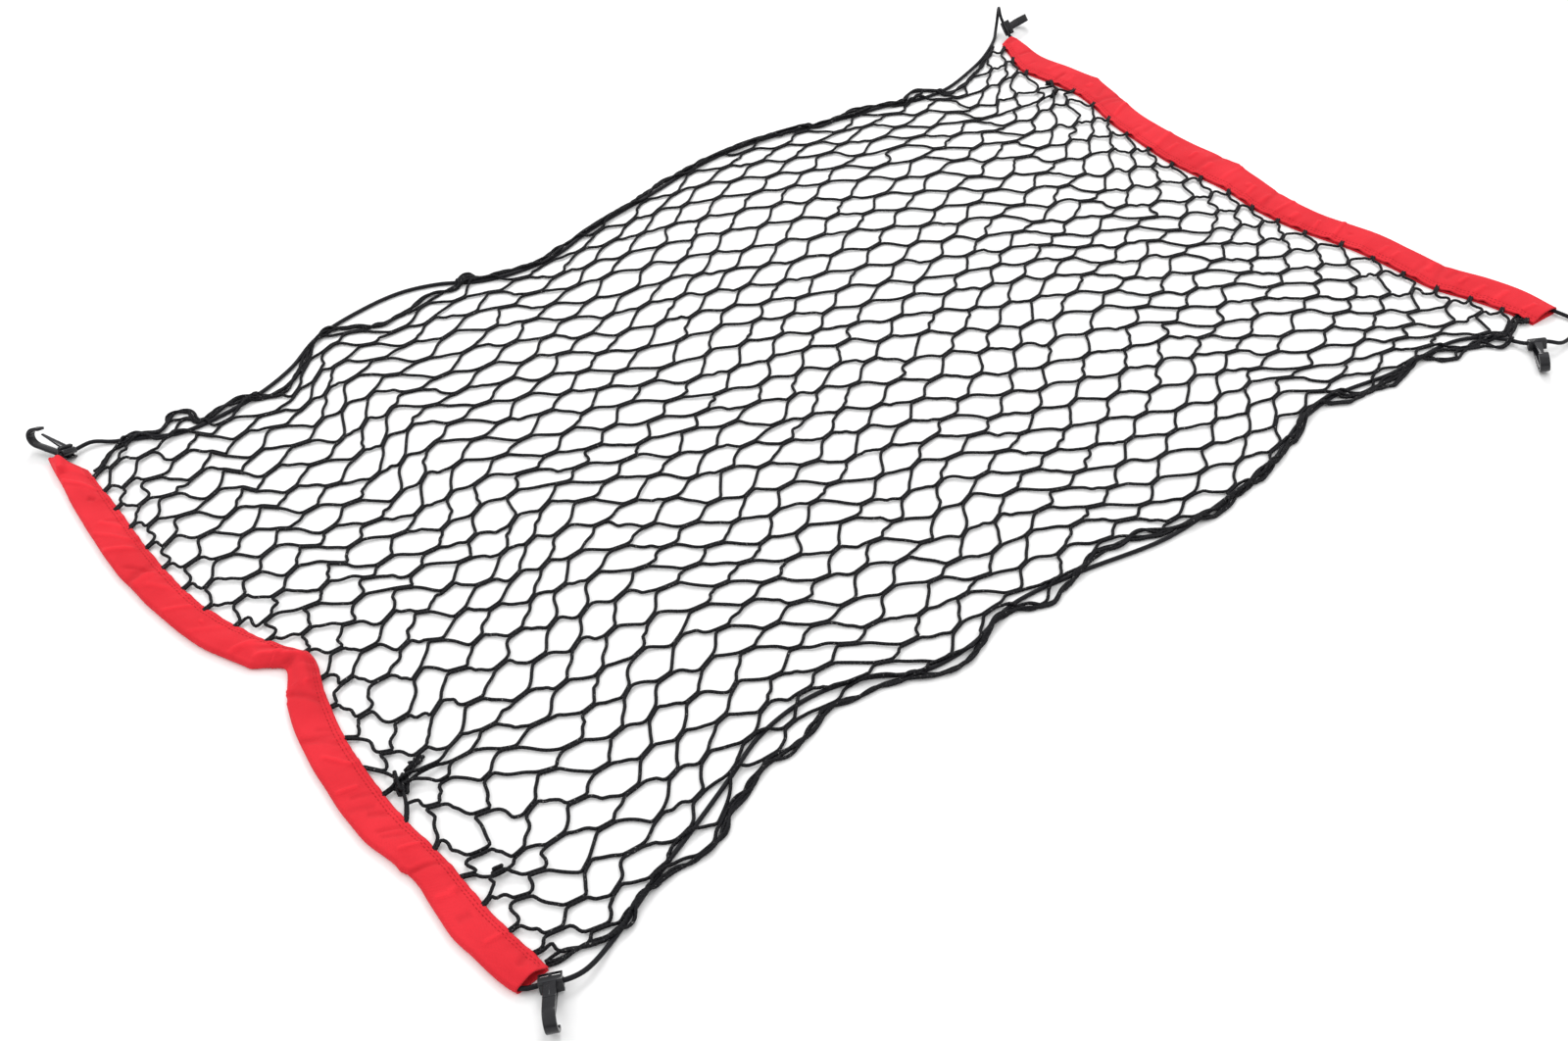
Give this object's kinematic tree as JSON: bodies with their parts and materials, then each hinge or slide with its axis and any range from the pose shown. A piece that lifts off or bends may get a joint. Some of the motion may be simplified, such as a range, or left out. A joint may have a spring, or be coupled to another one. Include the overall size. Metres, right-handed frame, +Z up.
{
  "type": "elastic cargo net",
  "caption": "Flat elastic cargo net: black knotless hexagonal mesh between red fabric end sleeves, with an elastic cord round its edge and a snap hook at each corner.",
  "frame": {"origin": "on the floor, under the middle of the whole thing as it lies", "axes": "+X along the net from one fabric sleeve to the other, +Y across it, +Z up"},
  "size_m": [1.0254, 0.6748, 0.0263],
  "materials": {
    "net_cord": "black knitted polyester cord",
    "sleeve_fabric": "bright red woven fabric with double stitching",
    "elastic": "black smoothly braided elastic cord",
    "hook_plastic": "black satin moulded plastic"
  },
  "bodies": {
    "root": {"net": "net_cord", "sleeve_left": "sleeve_fabric", "sleeve_right": "sleeve_fabric", "elastic_cord": "elastic", "hook_1": "hook_plastic", "hook_2": "hook_plastic", "hook_3": "hook_plastic", "hook_4": "hook_plastic"}
  },
  "joints": []
}
